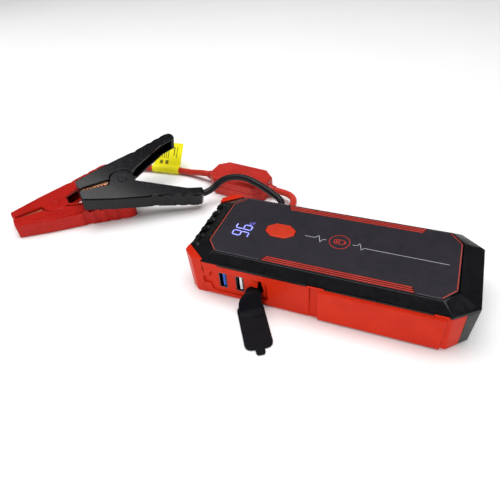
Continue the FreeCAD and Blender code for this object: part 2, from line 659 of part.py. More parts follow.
def clamp_half(fixed):
    """One plastic half; the fixed one has its ears outside, the lever inside."""
    t = CLAMP_THICKNESS / 2
    outline = scaled(OUTER_EDGE + INNER_EDGE)
    body = plate(outline, -t, t)
    rim = [e for e in body.Edges if abs(e.Vertexes[0].Z - e.Vertexes[1].Z) < 0.01
           and min(v.Y for v in e.Vertexes) > 11 * CLAMP_SCALE]
    body = body.makeChamfer(1.0, rim)
    body = body.cut(finger_waves())
    # the handle is a channel that opens towards the other handle
    k = CLAMP_SCALE
    channel = [(9.5, -4), (9.5, 18.6), (0, 21.2), (-20, 26.8), (-45, 34.6), (-57, 38.8), (-63, 36),
               (-63, 30), (-45, 20), (-12, -4)]
    channel = [(x * k, y * k) for x, y in channel]
    body = body.cut(plate(channel, -t + SIDE_WALL, t - SIDE_WALL))
    end_wall = plate(scaled([(-57, 42), (-61, 38), (-61, 33.5), (-57.5, 32.5)]), -t + 0.6, t - 0.6)
    if fixed:
        exit_y = LEAD_SIDE * k
        end_wall = end_wall.cut(cylinder(LEAD_DIAMETER / 2 + 0.1, (-70, exit_y, 0), (-50, exit_y, 0)))
    body = body.fuse(end_wall)
    # slot that holds the copper jaw and a pocket for the braid behind it
    body = body.cut(plate(scaled([(12, -2), (12, 3.4), (36.6, 3.4), (36.6, -2)]), -4.6, 4.6))
    body = body.cut(plate(scaled([(2, -2), (2, 13.5), (16, 10.5), (16, -2)]), -3.0, 3.0))
    body = body.cut(plate(scaled([(36, -2), (36, 1.2), (39, 1.2), (39, -2)]), -8, 8))
    body = body.cut(disc(HUB_RADIUS + 0.4, -9, 9))
    ear_zone = scaled([(11.8, 0.5), (11.8, 12), (0, 17), (-16, 17), (-16, 9.6), (-8, 4.4), (0, 0.5)])
    ear_zone = plate(ear_zone, -t, t)
    if fixed:
        z0, z1 = t - EAR_THICKNESS, t
        ears = both_sides(z0, z1, lambda a, b: disc(HUB_RADIUS, a, b))
        web = both_sides(z0, z1, lambda a, b: disc(HUB_RADIUS + 1.5, a, b)).common(ear_zone)
    else:
        z1 = t - EAR_THICKNESS - 0.3
        z0 = z1 - EAR_THICKNESS
        ears = both_sides(z0, z1, lambda a, b: disc(HUB_RADIUS - 1.0, a, b))
        web = both_sides(z0, z1, lambda a, b: disc(HUB_RADIUS + 6.0, a, b)).common(ear_zone)
    body = body.fuse(ears).fuse(web)
    if fixed:
        body = body.cut(both_sides(t - PIN_HEAD[1], t + 1, lambda a, b: disc(PIN_HEAD[0], a, b)))
    return body.cut(disc(PIN_DIAMETER / 2 + (0.0 if fixed else 0.25), -9, 9)).removeSplitter()


def copper_jaw():
    """Toothed plate along the mouth of one half."""
    k = CLAMP_SCALE
    jaw = box(12.3 * k, 36.3 * k, 1.3, 3.3, -4.3, 4.3)
    for i in range(7):
        x = (15.0 + 3.1 * i) * k
        tooth = plate([(x - 1.2, 1.35), (x + 1.2, 1.35), (x, 0.3)], -4.3, 4.3)
        jaw = jaw.fuse(tooth)
    return jaw.removeSplitter()


def clamp_pin():
    t = CLAMP_THICKNESS / 2
    pin = disc(PIN_DIAMETER / 2, -t, t)
    heads = both_sides(t - PIN_HEAD[1], t, lambda a, b: disc(PIN_HEAD[0], a, b))
    return pin.fuse(heads).removeSplitter()


def clamp_spring():
    """Torsion spring round the pin with a short leg towards each half."""
    wire, coil, pitch, turns = 1.1, 3.4, 1.3, 3.5
    helix = Part.makeHelix(pitch, pitch * turns, coil)
    ring = Part.Wire([Part.makeCircle(wire / 2, Vec(coil, 0, 0), Y_AXIS)])
    spring = Part.Wire(helix.Edges).makePipeShell([ring], True, True)
    spring.translate(Vec(0, 0, -pitch * turns / 2))
    spring.rotate(Vec(0, 0, 0), Z_AXIS, 90)
    z = pitch * turns / 2
    for side, level in ((1, -z), (-1, z)):
        leg = cylinder(wire / 2, (0.4, side * coil, level), (-9.0, side * (coil + 1.8), level))
        spring = spring.fuse(leg)
    return spring.removeSplitter()


def clamp_braid():
    """Short copper braid from the fixed jaw towards the other one, behind the mouth."""
    return sweep([(12.0, 2.4, 0), (9.6, 2.4, 0), (9.6, -1.6, 0), (10.9, -1.6, 0)], BRAID_RADIUS)


def clamp_wire():
    """Stretch of the lead inside the fixed handle, up to its copper jaw."""
    k = CLAMP_SCALE
    route = [(-61, LEAD_SIDE), (-54, LEAD_SIDE), (-46, 31.4), (-20, 22.4), (-2, 15.9), (12.5, 8.4)]
    return sweep([(x * k, y * k, 0) for x, y in route], CORE_RADIUS)


def mirrored(shape):
    return shape.mirror(Vec(0, 0, 0), Y_AXIS)


def clamp(colour, spec, fixed_side):
    """All pieces of one clamp; fixed_side is +1 or -1 along its own Y."""
    place = clamp_place(spec)
    pieces = {
        "body": (clamp_half(True), fixed_side), "lever": (clamp_half(False), -fixed_side),
        "body_jaw": (copper_jaw(), fixed_side), "lever_jaw": (copper_jaw(), -fixed_side),
        "pin": (clamp_pin(), 1), "spring": (clamp_spring(), 1), "braid": (clamp_braid(), fixed_side),
        "wire": (clamp_wire(), fixed_side)}
    for name, (shape, side) in pieces.items():
        shape = shape if side > 0 else mirrored(shape)
        shape = shape.copy()
        shape.Placement = place
        save("%s_clamp_%s" % (colour, name), shape)
    # the lead leaves straight back out of the fixed handle
    side = fixed_side * LEAD_SIDE * CLAMP_SCALE
    return [place.multVec(Vec(-61 * CLAMP_SCALE - back, side, 0)) for back in (0, 8)]


# ---- control box on the red lead -----------------------------------------------------
BOX_CENTRE = Vec(-106.5, 91.0, 0)
BOX_YAW = -7.0
BOX_SIZE = (57.0, 31.0)
BOX_CORNER = (9.0, 8.0)
BOX_SPLIT_Z = 9.0
BOX_TOP_Z = 17.0
BOX_LEAD_Z = 8.0
GLAND_REACH = 34.5


def on_box(shape):
    shape = shape.copy()
    shape.Placement = FreeCAD.Placement(BOX_CENTRE, FreeCAD.Rotation(Z_AXIS, BOX_YAW))
    return shape


def box_wire(z, inset=0.0):
    return octagon_wire(BOX_SIZE[0], BOX_SIZE[1], BOX_CORNER, z, inset)


def box_base():
    shell = loft(box_wire(0.1, 0.8), box_wire(1.5)).fuse(loft(box_wire(1.5), box_wire(BOX_SPLIT_Z)))
    shell = shell.cut(loft(box_wire(1.8, 1.8), box_wire(BOX_SPLIT_Z + 1, 1.8)))
    return shell.cut(gland_bores()).removeSplitter()


def box_lid():
    shell = loft(box_wire(BOX_SPLIT_Z), box_wire(BOX_TOP_Z - 2)).fuse(
        loft(box_wire(BOX_TOP_Z - 2), box_wire(BOX_TOP_Z, 1.6)))
    shell = shell.cut(loft(box_wire(BOX_SPLIT_Z - 1, 1.8), box_wire(BOX_TOP_Z - 2.5, 1.8)))
    shell = shell.cut(loft(box_wire(BOX_TOP_Z - 0.5, 5.0), box_wire(BOX_TOP_Z + 1, 5.0)))
    return shell.cut(gland_bores()).removeSplitter()


def gland_bores():
    return cylinder(4.0, (-40, 0, BOX_LEAD_Z), (40, 0, BOX_LEAD_Z))


def box_glands():
    """Rubber strain relief at each end of the box."""
    glands = []
    half = BOX_SIZE[0] / 2
    for side in (-1, 1):
        plug = cylinder(4.0, (side * (half - 3.5), 0, BOX_LEAD_Z), (side * (half + 0.5), 0, BOX_LEAD_Z))
        cone = Part.makeCone(4.6, 3.6, GLAND_REACH - half, Vec(side * half, 0, BOX_LEAD_Z), Vec(side, 0, 0))
        glands.append(plug.fuse(cone))
    return group(glands)


def box_board():
    board = plate(octagon(BOX_SIZE[0] - 5.0, BOX_SIZE[1] - 5.0, BOX_CORNER), 2.4, 3.9)
    return board


def box_relay():
    relay = box(-11, 7, -8, 8, 3.9, 12.5)
    caps = [cylinder(2.4, (13, y, 3.9), (13, y, 11.0)) for y in (-5, 5)]
    return group([relay] + caps)


# ---- leads --------------------------------------------------------------------------
def tube(points):
    return sweep(points, LEAD_DIAMETER / 2)


PLUG_END_Y = 54.5
PIN_RADIUS = CONTACT_DIAMETER / 2 - 0.1


def plug_body():
    """Plug pushed into the back of the pack, with two sockets for the leads."""
    x0, x1 = SOCKET_X - 11.0, SOCKET_X + 11.0
    grip = rounded_slot(x0, x1, SOCKET_Z - 6.0, SOCKET_Z + 6.0, 2.5, PACK_WIDTH / 2 + 0.2, PLUG_END_Y)
    nose = box(SOCKET_X - 9.2, SOCKET_X + 9.2, PACK_WIDTH / 2 - 10.2, PACK_WIDTH / 2 + 0.3,
               SOCKET_Z - 4.3, SOCKET_Z + 4.3)
    plug = grip.fuse(nose)
    for side in (-1, 1):
        x = contact_x(side)
        plug = plug.cut(cylinder(PIN_RADIUS, (x, 20, SOCKET_Z), (x, 46, SOCKET_Z)))
    return plug.removeSplitter()


def plug_contacts():
    pins = []
    for side in (-1, 1):
        x = contact_x(side)
        pins.append(cylinder(PIN_RADIUS, (x, PACK_WIDTH / 2 - 14.6, SOCKET_Z), (x, 46, SOCKET_Z)))
    return group(pins)


def box_point(x, z=BOX_LEAD_Z):
    return on_box(Part.Vertex(x, 0, z)).Point


def lead_routes(red_exit, black_exit):
    red_side, black_side = contact_x(1), contact_x(-1)
    red_clamp_side = [red_exit[0], red_exit[1], (-223.0, 92.6, 4.0), (-206.0, 96.9, 3.75),
                      (-174.5, 99.8, 3.75), (-159.0, 98.4, 4.8), box_point(-GLAND_REACH - 7),
                      box_point(-GLAND_REACH)]
    red_pack_side = [box_point(GLAND_REACH), box_point(GLAND_REACH + 8), (-54.0, 79.5, 10.0),
                     (red_side, 67.0, SOCKET_Z), (red_side, PLUG_END_Y, SOCKET_Z)]
    black = [black_exit[0], black_exit[1], (-115.5, 73.4, 21.5), (-98.5, 76.6, 24.4),
             (-83.0, 72.8, 22.6), (-69.5, 69.5, 18.0), (black_side, 65.0, SOCKET_Z),
             (black_side, PLUG_END_Y, SOCKET_Z)]
    return red_clamp_side, red_pack_side, black


LABEL_START, LABEL_END = Vec(-204.0, 97.08, 3.75), Vec(-176.0, 99.66, 3.75)
LABEL_REACH, LABEL_THICKNESS = 26.5, 0.5
LABEL_LEAN_DEG = 46.0


def warning_label():
    """Folded label: a sleeve round the lead and a flag that leans back."""
    length = (LABEL_END - LABEL_START).Length
    inner, thick = LEAD_DIAMETER / 2 + 0.35, LABEL_THICKNESS
    sleeve = Part.makeCylinder(inner + thick, length, Vec(0, 0, 0), X_AXIS)
    flag = box(0, length, inner, LABEL_REACH, -thick / 2, thick / 2)
    flag.rotate(Vec(0, 0, 0), X_AXIS, LABEL_LEAN_DEG)
    shape = sleeve.fuse(flag).cut(Part.makeCylinder(inner, length, Vec(0, 0, 0), X_AXIS))
    shape.Placement = FreeCAD.Placement(LABEL_START, FreeCAD.Rotation(X_AXIS, LABEL_END - LABEL_START))
    return shape


# ---- write every node ------------------------------------------------------------------
save("lower_housing", lower_housing())
save("top_cover", top_cover())
save("top_panel", top_panel())
save("accent_strip_near", accent_strip(-1))
save("accent_strip_far", accent_strip(1))
save("power_button", power_button())
save("button_switch", button_switch())
save("display_module", display_module())
save("main_board", main_board())
save("port_board", port_board())
for i in range(CELL_COUNT):
    save("battery_cell_%d" % (i + 1), battery_cell(i))
for i, x in enumerate(USB_X):
    save("usb_shell_%d" % (i + 1), usb_shell(x))
    save("usb_tongue_%d" % (i + 1), usb_tongue(x))
save("charge_port", charge_port())
save("end_cover", end_cover())
save("torch_lens", torch_lens())
save("torch_reflector", torch_reflector())
save("torch_led", torch_led())
save("jump_socket", jump_socket())
save("socket_contacts", socket_contacts())
save("bus_bars", bus_bars())
save("housing_screws", housing_screws())
save("cover_strap", cover_strap())
save("cover_knuckle", cover_knuckle())
save("port_cover", port_cover())
save("plug_body", plug_body())
save("plug_contacts", plug_contacts())
save("control_box_base", on_box(box_base()))
save("control_box_lid", on_box(box_lid()))
save("control_box_glands", on_box(box_glands()))
save("control_box_board", on_box(box_board()))
save("control_box_relay", on_box(box_relay()))
red_exit = clamp("red", RED_CLAMP, -1)
black_exit = clamp("black", BLACK_CLAMP, 1)
red_clamp_route, red_pack_route, black_route = lead_routes(red_exit, black_exit)
save("red_lead_clamp_side", tube(red_clamp_route))
save("red_lead_pack_side", tube(red_pack_route))
save("black_lead", tube(black_route))
save("warning_label", warning_label())
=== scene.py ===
import bpy
import bmesh
import json
from math import radians, sin, cos, pi, hypot
from mathutils import Matrix, Vector
from mathutils.bvhtree import BVHTree


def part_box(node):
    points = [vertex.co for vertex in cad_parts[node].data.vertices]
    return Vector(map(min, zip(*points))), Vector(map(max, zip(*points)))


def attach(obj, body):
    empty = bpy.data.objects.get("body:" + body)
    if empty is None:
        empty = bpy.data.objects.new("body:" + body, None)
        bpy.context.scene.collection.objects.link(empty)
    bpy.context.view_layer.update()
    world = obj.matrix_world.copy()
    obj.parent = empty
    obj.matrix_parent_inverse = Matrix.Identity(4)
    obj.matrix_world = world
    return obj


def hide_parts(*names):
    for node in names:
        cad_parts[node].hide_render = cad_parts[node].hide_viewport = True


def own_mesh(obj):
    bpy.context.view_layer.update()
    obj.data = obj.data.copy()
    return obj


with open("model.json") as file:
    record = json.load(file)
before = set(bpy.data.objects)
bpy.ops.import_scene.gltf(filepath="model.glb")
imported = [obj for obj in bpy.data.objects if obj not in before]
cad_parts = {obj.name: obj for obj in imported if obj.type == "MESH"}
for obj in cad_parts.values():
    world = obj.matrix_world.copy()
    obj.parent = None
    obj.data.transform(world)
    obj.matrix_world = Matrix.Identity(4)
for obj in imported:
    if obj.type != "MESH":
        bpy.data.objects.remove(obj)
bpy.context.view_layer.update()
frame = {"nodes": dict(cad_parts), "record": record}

# Car jump starter pack: battery pack with a rubber port cover, plug-in leads
# with a control box, and two battery clamps.  Metres, in the CAD model's frame.

scene = bpy.context.scene
nodes = frame["nodes"]
body_of = {node: body for body, members in frame["record"]["behaviour"]["bodies"].items()
           for node in members}
MM = 0.001
UP = Vector((0, 0, 1))


def mm(*values):
    """A point or size given in millimetres."""
    return Vector([v * MM for v in values])


# ---- camera ----------------------------------------------------------------------
CAMERA_PLACE = mm(53.16, -239.40, 245.57)
CAMERA_AZIMUTH, CAMERA_ELEVATION, CAMERA_ROLL = 25.48, 41.15, -5.60
CAMERA_LENS, SENSOR_WIDTH = 34.13, 36.0


def make_camera():
    azimuth, elevation, roll = (radians(angle) for angle in
                                (CAMERA_AZIMUTH, CAMERA_ELEVATION, CAMERA_ROLL))
    back = Vector((sin(azimuth) * cos(elevation), -cos(azimuth) * cos(elevation), sin(elevation)))
    level = (-back).cross(UP).normalized()
    rise = level.cross(-back)
    right = level * cos(roll) + rise * sin(roll)
    up = rise * cos(roll) - level * sin(roll)
    data = bpy.data.cameras.new("camera")
    data.sensor_width, data.lens = SENSOR_WIDTH, CAMERA_LENS
    data.clip_start, data.clip_end = 0.01, 30.0
    camera = bpy.data.objects.new("camera", data)
    scene.collection.objects.link(camera)
    turn = Matrix((right, up, back)).transposed().to_4x4()
    camera.matrix_world = Matrix.Translation(CAMERA_PLACE) @ turn
    scene.camera = camera


# ---- materials -------------------------------------------------------------------
def shader_material(name):
    material = bpy.data.materials.new(name)
    material.use_nodes = True
    tree = material.node_tree
    return material, tree, tree.nodes["Principled BSDF"]


def noise(tree, scale, detail=3.0, stretch=None):
    """Noise that sits still on the piece; stretch draws it out along an axis."""
    place = tree.nodes.new("ShaderNodeTexCoord").outputs["Object"]
    if stretch:
        mapping = tree.nodes.new("ShaderNodeMapping")
        mapping.inputs["Scale"].default_value = stretch
        tree.links.new(place, mapping.inputs["Vector"])
        place = mapping.outputs["Vector"]
    texture = tree.nodes.new("ShaderNodeTexNoise")
    texture.inputs["Scale"].default_value = scale
    texture.inputs["Detail"].default_value = detail
    tree.links.new(place, texture.inputs["Vector"])
    return texture.outputs["Fac"]


def ramp(tree, factor, low, high, start=0.35, end=0.65):
    node = tree.nodes.new("ShaderNodeValToRGB")
    first, last = node.color_ramp.elements
    first.position, last.position = start, end
    first.color, last.color = (*low, 1), (*high, 1)
    tree.links.new(factor, node.inputs["Fac"])
    return node.outputs["Color"]


def spread(tree, factor, low, high):
    node = tree.nodes.new("ShaderNodeMapRange")
    node.inputs["From Min"].default_value, node.inputs["From Max"].default_value = 0.3, 0.7
    node.inputs["To Min"].default_value, node.inputs["To Max"].default_value = low, high
    tree.links.new(factor, node.inputs["Value"])
    return node.outputs["Result"]


def moulded(name, colour, shade, rough, patch=60.0, grain=2600.0, depth=0.02,
            stretch=None, metallic=0.0, coat=0.0, specular=0.25):
    """Colour that drifts a little, uneven gloss and a fine surface grain."""
    material, tree, shader = shader_material(name)
    link = tree.links.new
    link(ramp(tree, noise(tree, patch), shade, colour), shader.inputs["Base Color"])
    link(spread(tree, noise(tree, patch * 4, 4.0, stretch), *rough), shader.inputs["Roughness"])
    bump = tree.nodes.new("ShaderNodeBump")
    bump.inputs["Strength"].default_value = 0.35
    bump.inputs["Distance"].default_value = depth * MM
    link(noise(tree, grain, 2.0, stretch), bump.inputs["Height"])
    link(bump.outputs["Normal"], shader.inputs["Normal"])
    shader.inputs["Metallic"].default_value = metallic
    shader.inputs["Coat Weight"].default_value = coat
    shader.inputs["Coat Roughness"].default_value = 0.12
    shader.inputs["Specular IOR Level"].default_value = specular
    return material


def glowing(name, colour, shade, strength):
    material, tree, shader = shader_material(name)
    light = ramp(tree, noise(tree, 900.0), shade, colour)
    tree.links.new(light, shader.inputs["Base Color"])
    tree.links.new(light, shader.inputs["Emission Color"])
    shader.inputs["Emission Strength"].default_value = strength
    shader.inputs["Roughness"].default_value = 0.3
    return material


def clear_plastic(name):
    material, tree, shader = shader_material(name)
    tree.links.new(ramp(tree, noise(tree, 120.0), (0.86, 0.88, 0.9), (0.95, 0.96, 0.97)),
                   shader.inputs["Base Color"])
    tree.links.new(spread(tree, noise(tree, 500.0), 0.04, 0.1), shader.inputs["Roughness"])
    shader.inputs["Transmission Weight"].default_value = 0.9
    shader.inputs["IOR"].default_value = 1.46
    return material


HOUSING_RED = moulded("housing_red", (0.57, 0.024, 0.005), (0.51, 0.018, 0.004), (0.30, 0.40),
                      specular=0.10)
COVER_BLACK = moulded("cover_black", (0.0050, 0.0052, 0.0065), (0.0032, 0.0034, 0.0045),
                      (0.24, 0.36), specular=0.2)
PANEL_CHARCOAL = moulded("panel_charcoal", (0.020, 0.018, 0.024), (0.016, 0.0145, 0.020),
                         (0.34, 0.42), grain=4200.0, depth=0.01, coat=0.15)
TRIM_RED = moulded("trim_red", (0.42, 0.055, 0.035), (0.36, 0.045, 0.030), (0.30, 0.4))
# painted highlight: grey put on the red trim's long sides in place of the reflection they catch
TRIM_HIGHLIGHT_GREY = moulded("trim_painted_highlight", (0.075, 0.062, 0.080), (0.055, 0.045, 0.060), (0.3, 0.4))
ACCENT_RED = moulded("accent_red", (0.44, 0.042, 0.032), (0.38, 0.034, 0.026), (0.30, 0.42))
BUTTON_RED = moulded("button_red", (0.53, 0.033, 0.010), (0.47, 0.027, 0.008), (0.32, 0.42))
MARK_GREY = moulded("mark_grey", (0.42, 0.41, 0.46), (0.34, 0.33, 0.38), (0.4, 0.5))
MARK_RED = moulded("mark_red", (0.48, 0.030, 0.024), (0.40, 0.024, 0.018), (0.4, 0.5))
DIGIT_GLOW = glowing("digit_glow", (0.36, 0.38, 1.0), (0.22, 0.24, 0.95), 0.75)
PERCENT_GLOW = glowing("percent_glow", (0.16, 0.13, 0.55), (0.10, 0.08, 0.42), 0.35)
SWITCH_BLACK = moulded("switch_black", (0.02, 0.02, 0.02), (0.012, 0.012, 0.012), (0.4, 0.55))
DISPLAY_WHITE = moulded("display_white", (0.75, 0.76, 0.78), (0.66, 0.67, 0.7), (0.35, 0.5))
BOARD_GREEN = moulded("board_green", (0.02, 0.16, 0.06), (0.012, 0.11, 0.04), (0.25, 0.4),
                      patch=200.0)
CELL_FOIL = moulded("cell_foil", (0.62, 0.63, 0.66), (0.5, 0.51, 0.54), (0.3, 0.5), metallic=0.9)
PORT_STEEL = moulded("port_steel", (0.20, 0.20, 0.21), (0.13, 0.13, 0.14), (0.22, 0.36),
                     metallic=1.0, stretch=(1, 1, 12))
TONGUE_BLUE = moulded("tongue_blue", (0.03, 0.12, 0.55), (0.022, 0.09, 0.45), (0.35, 0.45))
TONGUE_WHITE = moulded("tongue_white", (0.86, 0.86, 0.86), (0.76, 0.76, 0.77), (0.35, 0.45))
END_DARK = moulded("end_dark", (0.008, 0.008, 0.009), (0.005, 0.005, 0.006), (0.28, 0.4))
LENS_CLEAR = clear_plastic("lens_clear")
CHROME = moulded("chrome", (0.86, 0.87, 0.88), (0.76, 0.77, 0.78), (0.06, 0.14), metallic=1.0)
LED_YELLOW = moulded("led_yellow", (0.85, 0.68, 0.12), (0.75, 0.58, 0.08), (0.3, 0.4))
SOCKET_BLUE = moulded("socket_blue", (0.02, 0.07, 0.38), (0.014, 0.05, 0.3), (0.32, 0.45))
GOLD = moulded("gold", (0.86, 0.62, 0.24), (0.74, 0.5, 0.18), (0.2, 0.34), metallic=1.0)
BUS_COPPER = moulded("bus_copper", (0.80, 0.36, 0.18), (0.66, 0.27, 0.13), (0.25, 0.42),
                     metallic=1.0)
SCREW_STEEL = moulded("screw_steel", (0.34, 0.34, 0.36), (0.22, 0.22, 0.24), (0.24, 0.4),
                      metallic=1.0)
RUBBER_BLACK = moulded("rubber_black", (0.0045, 0.0042, 0.0065), (0.003, 0.0028, 0.0045),
                       (0.52, 0.68), grain=1800.0, depth=0.04, specular=0.1)
PLUG_BLUE = moulded("plug_blue", (0.02, 0.07, 0.42), (0.014, 0.05, 0.33), (0.3, 0.45))
BOX_RED = moulded("box_red", (0.50, 0.028, 0.020), (0.43, 0.022, 0.015), (0.30, 0.42))
GLAND_RED = moulded("gland_red", (0.46, 0.026, 0.018), (0.38, 0.020, 0.013), (0.42, 0.55),
                    depth=0.03)
RELAY_BLUE = moulded("relay_blue", (0.03, 0.12, 0.4), (0.02, 0.09, 0.32), (0.3, 0.4))
LEAD_RED = moulded("lead_red", (0.56, 0.035, 0.020), (0.48, 0.028, 0.015), (0.36, 0.5),
                   grain=1500.0)
LEAD_BLACK = moulded("lead_black", (0.008, 0.008, 0.010), (0.005, 0.005, 0.007), (0.3, 0.44),
                     grain=1500.0)
LABEL_YELLOW = moulded("label_yellow", (0.97, 0.89, 0.018), (0.91, 0.82, 0.014), (0.3, 0.42),
                       patch=90.0)
LABEL_INK = moulded("label_ink", (0.22, 0.19, 0.012), (0.16, 0.14, 0.01), (0.4, 0.5))
CLAMP_RED = moulded("clamp_red", (0.42, 0.011, 0.006), (0.36, 0.008, 0.005), (0.22, 0.32),
                    coat=0.12, specular=0.14)
CLAMP_BLACK = moulded("clamp_black", (0.0035, 0.0035, 0.0055), (0.002, 0.002, 0.0035), (0.2, 0.3),
                      coat=0.25, specular=0.12)
JAW_COPPER = moulded("jaw_copper", (0.95, 0.52, 0.30), (0.72, 0.33, 0.17), (0.25, 0.45),
                     patch=220.0, metallic=0.7, stretch=(3, 3, 1))
PIN_STEEL = moulded("pin_steel", (0.55, 0.55, 0.57), (0.4, 0.4, 0.42), (0.22, 0.36), metallic=1.0)


# ---- leads -----------------------------------------------------------------------
LEAD_DIAMETER = 0.0056
PLUG_BACK = 54.5                 # the plug's end face, along Y
PLUG_Z = 13.0
RED_SOCKET_X, BLACK_SOCKET_X = -47.8, -56.2

# the route points of the CAD tubes, in millimetres, from each lead's exit
RED_PACK_SIDE = [(RED_SOCKET_X, PLUG_BACK, PLUG_Z), (RED_SOCKET_X, 67.0, PLUG_Z),
                 (-54.0, 79.5, 10.0), (-64.32, 85.82, 8.0), (-72.26, 86.8, 8.0)]
RED_CLAMP_SIDE = [(-140.74, 95.2, 8.0), (-147.69, 96.06, 8.0), (-159.0, 98.4, 4.8),
                  (-174.5, 99.8, 3.75), (-206.0, 96.9, 3.75), (-223.0, 92.6, 4.0),
                  (-233.68, 81.54, 7.1), (-238.61, 75.25, 7.1)]
BLACK_ROUTE = [(BLACK_SOCKET_X, PLUG_BACK, PLUG_Z), (BLACK_SOCKET_X, 65.0, PLUG_Z),
               (-69.5, 69.5, 18.0), (-83.0, 72.8, 22.6), (-98.5, 76.6, 24.4), (-115.5, 73.4, 21.5),
               (-123.59, 64.06, 12.78), (-128.85, 58.05, 13.18)]


def lead(node, route, material):
    """One cable on its own smooth spline."""
    curve = bpy.data.curves.new(node + "_cable", "CURVE")
    curve.dimensions = "3D"
    spline = curve.splines.new("NURBS")
    spline.points.add(len(route) - 1)
    for point, place in zip(spline.points, route):
        point.co = (*mm(*place), 1.0)
    spline.order_u = 3
    spline.use_endpoint_u = True
    spline.resolution_u = 24
    curve.bevel_depth = LEAD_DIAMETER / 2
    curve.bevel_resolution = 8
    curve.use_fill_caps = True
    cable = bpy.data.objects.new(node + "_cable", curve)
    scene.collection.objects.link(cable)
    curve.materials.append(material)
    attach(cable, body_of[node])
    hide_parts(node)


make_camera()
lead("red_lead_pack_side", RED_PACK_SIDE, LEAD_RED)
lead("red_lead_clamp_side", RED_CLAMP_SIDE, LEAD_RED)
lead("black_lead", BLACK_ROUTE, LEAD_BLACK)


# ---- floor and light ---------------------------------------------------------------
FLOOR_HALF = 4.0
WORLD_STRENGTH = 0.12


def make_stage():
    mesh = bpy.data.meshes.new("floor")
    mesh.from_pydata([(x * FLOOR_HALF, y * FLOOR_HALF, 0)
                      for x, y in ((-1, -1), (1, -1), (1, 1), (-1, 1))], [], [(0, 1, 2, 3)])
    floor = bpy.data.objects.new("floor", mesh)
    scene.collection.objects.link(floor)
    mesh.materials.append(moulded("floor_white", (0.93, 0.93, 0.93), (0.915, 0.915, 0.915),
                                  (0.7, 0.8), patch=6.0, grain=300.0, specular=0.1))


def softbox(name, place, aim, size, power, glossy=True):
    """Rectangular lamp, in metres and watts; glossy is whether reflections show it."""
    data = bpy.data.lights.new(name, "AREA")
    data.shape, data.size, data.size_y, data.energy = "RECTANGLE", size[0], size[1], power
    lamp = bpy.data.objects.new(name, data)
    scene.collection.objects.link(lamp)
    lamp.location = place
    lamp.rotation_euler = (Vector(aim) - Vector(place)).to_track_quat("-Z", "Y").to_euler()
    lamp.visible_glossy = glossy


def make_lights():
    world = bpy.data.worlds.new("studio")
    world.use_nodes = True
    background = world.node_tree.nodes["Background"]
    background.inputs["Color"].default_value = (1.0, 1.0, 1.0, 1)
    background.inputs["Strength"].default_value = WORLD_STRENGTH
    scene.world = world
    softbox("overhead", (-0.05, 0.1, 1.2), (-0.05, 0.05, 0.0), (1.3, 0.9), 17.0)
    softbox("front", (-0.25, -1.2, 0.28), (-0.05, 0.0, 0.03), (1.0, 0.35), 8.0, glossy=False)
    softbox("right", (1.0, -0.3, 0.4), (0.0, 0.0, 0.02), (0.5, 0.4), 2.0)
    softbox("left", (-1.1, 0.15, 0.55), (-0.1, 0.0, 0.02), (0.6, 0.3), 2.5, glossy=False)
    scene.view_settings.view_transform = "Standard"
    scene.view_settings.look = "None"


make_stage()
make_lights()


# ---- finished copies of the CAD shapes ------------------------------------------------
FLAT_DEG, SHARP_DEG = 0.5, 24.0
STRAIGHT, ACUTE = -0.85, 0.9      # cosines: an edge that runs on, and one that nearly turns back
ROOM = 2.4                        # an edge is this many roundings long, or gets a smaller one
ACUTE_ROOM = 0.1                  # room left beside an acute edge, in roundings
STRAY = 0.45                      # share of the rounding that a point may lie off the CAD surface
SAME_POINT = 0.002 * MM
BEVEL_SEGMENTS = 2


def weigh_edges(form, width):
    """Full rounding on the sharp edges, and less where a neighbour leaves no room for it."""
    layer = form.edges.layers.float.new("bevel_weight_edge")
    sharp = {edge for edge in form.edges
             if len(edge.link_faces) == 2 and edge.calc_face_angle(0.0) > radians(SHARP_DEG)}
    for edge in sharp:
        room, ends = ROOM * width, 0
        for corner in edge.verts:
            away = (edge.other_vert(corner).co - corner.co).normalized()
            turned = False
            for other in corner.link_edges:
                if other is edge or other not in sharp:
                    continue
                lean = away.dot((other.other_vert(corner).co - corner.co).normalized())
                if lean > STRAIGHT:
                    turned = True
                    room = min(room, other.calc_length())
                if lean > ACUTE:
                    room = min(room, ACUTE_ROOM * width)
            ends += turned
        if ends:
            room = min(room, edge.calc_length())
        edge[layer] = min(1.0, room / (ROOM * width))


def finished(node, material, edge):
    """The node's shape with its moulded edges rounded by edge, in millimetres."""
    form = bmesh.new()
    form.from_mesh(nodes[node].data)
    bmesh.ops.remove_doubles(form, verts=form.verts, dist=SAME_POINT)
    bmesh.ops.dissolve_limit(form, angle_limit=radians(FLAT_DEG), verts=form.verts,
                             edges=form.edges)
    weigh_edges(form, edge * MM)
    for face in form.faces:
        face.smooth = True
    surface = BVHTree.FromBMesh(form)
    piece = new_piece(node + "_finished", form, material, body_of[node])
    bevel = piece.modifiers.new("edges", "BEVEL")
    bevel.width, bevel.segments = edge * MM, BEVEL_SEGMENTS
    bevel.limit_method, bevel.use_clamp_overlap = "WEIGHT", False
    bevel.miter_outer = "MITER_ARC"
    # a corner with no room for its rounding goes back to the surface
    depsgraph = bpy.context.evaluated_depsgraph_get()
    rounded = bpy.data.meshes.new_from_object(piece.evaluated_get(depsgraph))
    for vertex in rounded.vertices:
        place, _, _, distance = surface.find_nearest(vertex.co)
        if distance > STRAY * edge * MM:
            vertex.co = place
    piece.modifiers.clear()
    piece.data = rounded
    normals = piece.modifiers.new("normals", "WEIGHTED_NORMAL")
    normals.keep_sharp = True
    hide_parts(node)


def new_piece(name, form, material, body):
    """A piece from a bmesh, on its body and with its finish."""
    mesh = bpy.data.meshes.new(name)
    form.to_mesh(mesh)
    form.free()
    mesh.materials.append(material)
    piece = bpy.data.objects.new(name, mesh)
    scene.collection.objects.link(piece)
    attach(piece, body)
    return piece


def dressed(node, material):
    """The CAD node itself, in its own material."""
    nodes[node].data.materials.clear()
    nodes[node].data.materials.append(material)


